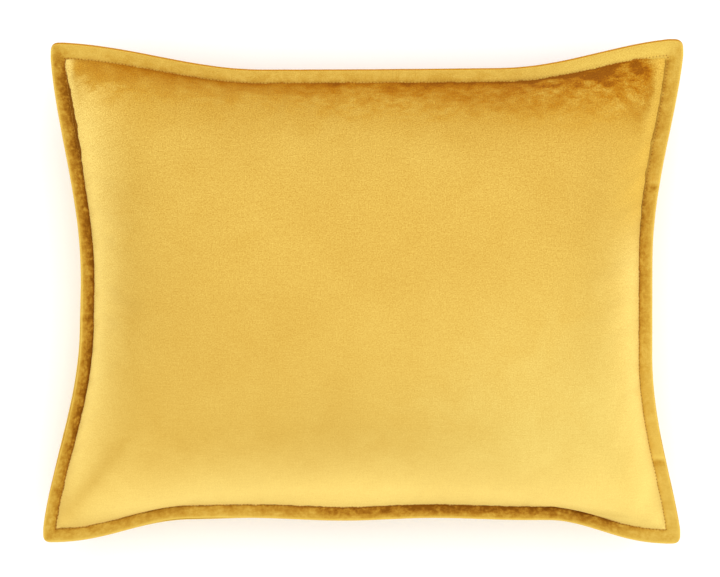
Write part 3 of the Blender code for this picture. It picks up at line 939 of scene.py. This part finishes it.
def capsules(name, starts, ends, radius, sides=7):
    """Short round-ended stitches from each start to its end."""
    starts = np.asarray(starts, dtype=float)
    ends = np.asarray(ends, dtype=float)
    along = unit(ends - starts)
    up = np.tile((0.0, 0.0, 1.0), (len(along), 1))
    up[np.abs(along[:, 2]) > 0.9] = (0.0, 1.0, 0.0)
    across = unit(np.cross(along, up))
    up = np.cross(across, along)
    circle = rings(across, up, sides)
    ends_at = ((starts, -0.9, 0.35), (starts, -0.45, 0.85), (starts, 0.3, 1.0))
    ends_at += ((ends, -0.3, 1.0), (ends, 0.45, 0.85), (ends, 0.9, 0.35))
    layers = []
    for end, reach, width in ends_at:
        middle = end + along * reach * radius
        layers.append(middle[:, None] + circle * radius * width)
    points = np.stack(layers, 1)
    count = len(layers) * sides
    shift = (np.arange(len(starts)) * count)[:, None, None]
    walls = np.array(tube_walls(len(layers), sides))[None] + shift
    cap = np.arange(sides)
    caps = np.stack([cap[::-1], count - sides + cap])[None] + shift
    return new_mesh(name, points, walls.reshape(-1, 4).tolist() + caps.reshape(-1, sides).tolist())


def tube(name, path, radius, sides):
    """A thread of even thickness along a path."""
    path = np.asarray(path, dtype=float)
    along = unit(np.gradient(path, axis=0))
    reference = np.where(np.abs(along[:, :1]) > 0.9, (0.0, 0.0, 1.0), (1.0, 0.0, 0.0))
    across = unit(np.cross(along, reference))
    up = np.cross(across, along)
    points = path[:, None] + rings(across, up, sides) * radius
    last = (len(path) - 1) * sides
    ends = [list(range(sides))[::-1], list(range(last, last + sides))]
    return new_mesh(name, points, tube_walls(len(path), sides) + ends)


def evenly(path, pitch):
    """Points every pitch along a closed path."""
    travelled = distances_round(path)
    path = np.vstack([path, path[:1]])
    count = round(travelled[-1] / pitch)
    places = np.arange(count) * travelled[-1] / count
    return np.stack([np.interp(places, travelled, path[:, k]) for k in range(3)], -1)


def seam_loop(inside=0.0, z=SEAM_Z):
    """Once round the seam, or a line out from it towards the rim (inside below 0)."""
    t = np.linspace(0, 1, 240)[:-1]
    zero = np.zeros_like(t)
    runs = ((t, zero), (zero + 1, t), (1 - t, zero + 1), (zero, 1 - t))
    loop = np.concatenate([seam_patch(u, v) for u, v in runs])
    loop = loop + inward(loop) * inside
    return xyz(*loop.T, z)


def real_pitch():
    """The stitch pitch that fits a whole number of times round the seam."""
    around = distances_round(seam_loop())[-1]
    return around / round(around / STITCH_PITCH)


def stitch_line(name, loop, pitch, radius, gap=0.30):
    """One line of lockstitch, each stitch a short stretch of thread between two needle holes."""
    holes = evenly(loop, pitch)
    following = np.roll(holes, -1, 0)
    start = holes + (following - holes) * gap / 2
    end = following - (following - holes) * gap / 2
    return capsules(name, start, end, radius)


def settle(filled):
    """Presses the back's filled shape flat where it meets the floor."""
    depth = np.clip(-filled[..., 2] / -filled[..., 2].min() * 1.25, 0, 1)
    settled = filled.copy()
    settled[..., 2] = -(BACK_DEPTH - SEAM_HALF) * depth * (2 - depth)
    return settled


def build_cover(front_shape, back_shape, finish, thread):
    front = Panel(front_shape, 1)
    front.pucker()
    back = Panel(back_shape, -1)
    back.pucker()
    back.cut_shelf()
    pieces = []
    for panel, name, node in ((front, "cover_front", "front_panel"), (back, "cover_back", "back_panel")):
        piece = panel.build(name)
        finish_cloth(piece, VELVET)
        place_piece(piece, finish, "velvet", node)
        pieces.append(piece)
    for side, name in ((1, "needle"), (-1, "bobbin")):
        loop = seam_loop(0.0, SEAM_Z + side * (SEAM_HALF + 0.02 * MM))
        piece = stitch_line(f"topstitch_{name}", loop, STITCH_PITCH, 0.17 * MM)
        place_piece(piece, thread, "gold_thread", f"topstitch_{name}_thread")
    rim = stitch_line("rim_seam", seam_loop(-8.6 * MM), STITCH_PITCH, 0.17 * MM, 0.15)
    place_piece(rim, thread, "gold_thread", "rim_seam_thread")
    return back.inside_grid()


# The insert


class Insert:
    """Both sides of the insert, or of its filling, a little way inside the cover's shape."""

    def __init__(self, front_shape, back_shape, inset, lower, edge):
        low = inset["zipped"] / (2 * FLAT_Y)
        self.us = np.linspace(inset["x"] / (2 * FLAT_X), 1 - inset["x"] / (2 * FLAT_X), 105)
        self.vs = np.linspace(low, 1 - inset["top"] / (2 * FLAT_Y), 83)
        u, v = np.meshgrid(self.us, self.vs, indexing="ij")
        self.flat = xyz(*on_cloth(u, v))
        near = np.minimum.reduce([u - u.min(), u.max() - u]) * 2 * FLAT_X
        near = np.minimum(near, np.minimum(v - v.min(), v.max() - v) * 2 * FLAT_Y)
        share = np.clip(near / edge, 0, 1)
        profile = np.sqrt(share * (2 - share))
        front = resample(front_shape, self.us, self.vs)
        back = resample(back_shape, self.us, self.vs)
        shared = back[..., :2]  # the rim keeps clear of the zipper's shelf
        self.sides = {}
        for side, shape in ((1, front), (-1, back)):
            height = np.maximum(np.abs(shape[..., 2]) - lower, 0.5 * MM) * profile
            z = SEAM_Z + side * height
            plan = shared + (shape[..., :2] - shared) * ease(near, 0, edge)[..., None]
            # Stays behind the wall that the zipper's shelf makes
            wall = lower - 0.1425 - 0.030 * ease(np.abs(plan[..., 0]), 0.170, 0.205)
            plan[..., 1] = np.maximum(plan[..., 1], wall)
            self.sides[side] = np.concatenate([plan, z[..., None]], -1)


def build_insert(front_shape, back_shape, cotton, thread, fibre, satin):
    insert = Insert(front_shape, back_shape, INSERT_IN, 4.0 * MM, 0.030)
    columns, rows = insert.flat.shape[:2]
    for side, name in ((1, "insert_front"), (-1, "insert_back")):
        points = insert.sides[side].copy()
        points[..., 2] += side * (TICKING + 0.05 * MM)
        piece = new_mesh(f"{name}_ticking", points, quads(columns, rows, side < 0))
        store(piece, "flat", insert.flat)
        finish_cloth(piece, TICKING, 0)
        place_piece(piece, cotton, "white_ticking", name)
    build_insert_seam(insert, thread)
    build_filling(front_shape, back_shape, fibre)
    build_insert_label(insert, satin)


def build_insert_seam(insert, thread):
    """Overlocking round the edge, and the zigzag that closes it after stuffing."""
    rim = evenly(rim_of(insert.sides[1]), 0.3 * MM)
    turns = np.arange(len(rim)) / 10
    wrap = rim.copy()
    wrap[:, :2] += inward(rim) * (1.2 * np.cos(math.tau * turns) + 0.3)[:, None] * MM
    wrap[:, 2] += 1.15 * MM * np.sin(math.tau * turns)
    closing = (np.abs(rim[:, 0]) < CLOSING_HALF) & (rim[:, 1] < 0)
    after = np.nonzero(closing)[0].max() + 1
    open_run = np.roll(wrap, -after, 0)[: len(rim) - int(closing.sum())]
    piece = tube("insert_overlock", open_run, 0.16 * MM, 5)
    place_piece(piece, thread, "white_thread", "insert_seam_thread")
    middle = rim[closing]
    step = np.arange(len(middle))
    zigzag = middle.copy()
    zigzag[:, 1] -= 0.75 * MM
    zigzag[:, 2] += 1.1 * MM * (2 * np.abs((step / 12) % 2 - 1) - 1)
    piece = tube("insert_closing", zigzag, 0.18 * MM, 6)
    place_piece(piece, thread, "white_thread", "insert_closing_thread")


def build_filling(front_shape, back_shape, fibre):
    """The fibre, lumpy in the way of loose stuffing."""
    core = Insert(front_shape, back_shape, FILL_IN, 5.4 * MM, 0.030)
    columns, rows = core.flat.shape[:2]
    x, y = core.flat[..., 0], core.flat[..., 1]
    lumps = np.sin(x * 210 + 2.0 * np.sin(y * 90)) * np.sin(y * 240 + 1.7 * np.sin(x * 110))
    skins = []
    for side in (1, -1):
        points = core.sides[side].copy()
        points[..., 2] += side * (0.2 * MM + 0.35 * MM * lumps * (np.abs(points[..., 2] - SEAM_Z) > 12 * MM))
        skins.append(points.reshape(-1, 3))
    count = columns * rows
    faces = quads(columns, rows).tolist() + (quads(columns, rows, True) + count).tolist()
    ring = rim_of(np.arange(count).reshape(columns, rows)).tolist()
    for here, after in zip(ring, ring[1:] + ring[:1]):
        faces.append([here, here + count, after + count, after])
    piece = new_mesh("filling", np.concatenate(skins), faces)
    place_piece(piece, fibre, "polyester_fibre", "fibre_fill")


def sewn_label(name, points, flat_u, flat_v, rests_on, satin, node):
    """A blank satin label from its middle surface: flat_u and flat_v are its places on the cut cloth."""
    piece = new_mesh(name, points, quads(len(flat_u), len(flat_v)))
    u, v = np.meshgrid(flat_u, flat_v, indexing="ij")
    store(piece, "flat", xyz(u, v))
    finish_cloth(piece, LABEL)
    place_piece(piece, satin, "satin_label", node)


def build_insert_label(insert, satin):
    """On the insert's front, sewn in at the side away from the zipper."""
    u = np.linspace(0.20, 0.26, 15)
    v = np.linspace(0.83, 0.975, 23)
    points = resample(insert.sides[1], u, v)
    normal = unit(np.cross(np.gradient(points, axis=0), np.gradient(points, axis=1)))
    curl = np.sin(np.linspace(0, math.pi, len(u)))[:, None] * np.linspace(0.2, 1, len(v))[None]
    points = points + normal * (1.0 + 0.35 * curl)[..., None] * MM
    sewn_label("insert_label_blank", points, *on_cloth(u, v), "insert_front_ticking", satin, "insert_label")


def build_care_label(satin):
    """Sewn in at the seam beside the zipper, hanging between the cover's back and the insert."""
    x = np.linspace(-0.1705, -0.1440, 15)
    run = np.linspace(0, 0.0495, 34)
    heading = math.radians(86) * ease(run, 0.015, 0.025)
    step = run[1]
    y = -0.1655 + np.concatenate([[0], np.cumsum(np.cos(heading[1:]) * step)])
    z = SEAM_Z - 0.3 * MM - np.concatenate([[0], np.cumsum(np.sin(heading[1:]) * step)])
    sewn_label("care_label_blank", xyz(x[:, None], y, z), x, run, "cover_back", satin, "care_label")


# The zipper


def build_tapes(cloth):
    for side, name, far in ((-1, "flange_side", 7.2), (1, "back_side", 9.0)):
        columns, rows = 131, 9
        x = np.linspace(-TAPE_HALF, TAPE_HALF, columns)
        across = np.linspace(1.0, far, rows) * MM * side
        px, py = np.meshgrid(x, across, indexing="ij")
        wave = 0.03 * MM * np.sin(px * 900) * (np.abs(py) / (9 * MM))
        points = xyz(px, ZIP_Y + py, SEAM_Z + 0.2 * MM + wave)
        piece = new_mesh(f"tape_{name}", points, quads(columns, rows, side < 0))
        store(piece, "flat", xyz(px, py))
        finish_cloth(piece, 0.4 * MM, 0)
        place_piece(piece, cloth, "zipper_tape", f"zipper_tape_{name}")


def build_coils(nylon):
    """Each coil is one nylon thread wound in flattened turns."""
    pitch = 1.2 * MM
    per_turn = 14
    turns = int((2 * CHAIN_HALF - 1 * MM) / pitch)
    angle = np.arange(turns * per_turn + 1) * math.tau / per_turn
    for side, name in ((-1, "flange_side"), (1, "back_side")):
        x = -CHAIN_HALF + 0.5 * MM + angle / math.tau * pitch
        y = ZIP_Y + side * (1.7 + 0.78 * np.cos(angle)) * MM
        z = SEAM_Z + (-1.4 + 0.68 * np.sin(angle)) * MM
        piece = tube(f"coil_{name}", xyz(x, y, z), 0.2 * MM, 7)
        place_piece(piece, nylon, "zipper_nylon", f"zipper_coil_{name}")


def rounded_copy(node, name, width, finish, slot, body="pillow"):
    """A small metal part with the CAD part's shape and worn, rounded edges."""
    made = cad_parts[node].copy()
    made.data = made.data.copy()
    made.name = name
    bpy.context.collection.objects.link(made)
    for key in list(made.keys()):
        del made[key]
    weld = made.modifiers.new("weld", "WELD")
    weld.merge_threshold = 0.01 * MM
    bevel = made.modifiers.new("worn", "BEVEL")
    bevel.width = width
    bevel.segments = 3
    bevel.limit_method = "ANGLE"
    bevel.angle_limit = math.radians(25)
    bevel.use_clamp_overlap = True
    apply_modifiers(made)
    made.data.shade_smooth()
    made.data.set_sharp_from_angle(angle=math.radians(50))
    return place_piece(made, finish, slot, node, body=body)


def build_zipper_stitching(thread):
    for name, y, z in (("flange_side", -5.6, -1.95), ("back_side", 5.6, -2.42)):
        x = np.arange(-TAPE_HALF, TAPE_HALF, STITCH_PITCH)
        line = xyz(x, ZIP_Y + y * MM, SEAM_Z + z * MM)
        step = np.array([STITCH_PITCH, 0, 0])
        piece = capsules(f"stitch_row_{name}", line + step * 0.12, line + step * 0.88, 0.17 * MM)
        place_piece(piece, thread, "gold_thread", f"zipper_stitch_row_{name}")
    for name, side in (("open_end", -1), ("closed_end", 1)):
        x = side * (SLOT_HALF_X + 2.0 * MM) + np.linspace(-0.9, 0.9, 7) * MM
        slant = 0.12 * MM * (-1) ** np.arange(7)
        start = xyz(x - slant, ZIP_Y - 3.9 * MM, SEAM_Z - 2.3 * MM)
        end = xyz(x + slant, ZIP_Y + 3.9 * MM, SEAM_Z - 3.2 * MM)
        piece = capsules(f"bar_tack_{name}", start, end, 0.17 * MM)
        place_piece(piece, thread, "gold_thread", f"zipper_bar_tack_{name}")


def build_zipper(tape, nylon, brass, thread):
    build_tapes(tape)
    build_coils(nylon)
    build_zipper_stitching(thread)
    for node in ("top_stop_flange_side", "top_stop_back_side", "bottom_stop"):
        rounded_copy(f"zipper_{node}", f"stop_{node}", 0.25 * MM, brass, "zipper_brass")
    rounded_copy("zipper_slider", "slider_body", 0.22 * MM, brass, "zipper_brass", "slider")
    rounded_copy("zipper_pull", "pull_tab", 0.22 * MM, brass, "zipper_brass", "pull")


def build_pillow():
    gold = thread_finish("golden_thread", "C08A2A")
    white = thread_finish("white_thread", "ECEAE4")
    cotton = woven_finish("white_ticking", "F2F0EA", 0.45 * MM, 0.08 * MM)
    satin = woven_finish("label_satin", "F3F1EC", 0.2 * MM, 0.02 * MM, 0.42, Sheen_Weight=0.2)
    tape = woven_finish("zipper_tape", "D6A843", 0.5 * MM, 0.06 * MM)
    front_shape = blown_up("front_sheet", 1)
    back_shape = settle(blown_up("back_sheet", -1))
    back_inside = build_cover(front_shape, back_shape, velvet(), gold)
    build_insert(front_shape, back_inside, cotton, white, fibre_finish(), satin)
    build_care_label(satin)
    build_zipper(tape, nylon_finish(), brass_finish(), gold)


camera()
studio()
build_pillow()
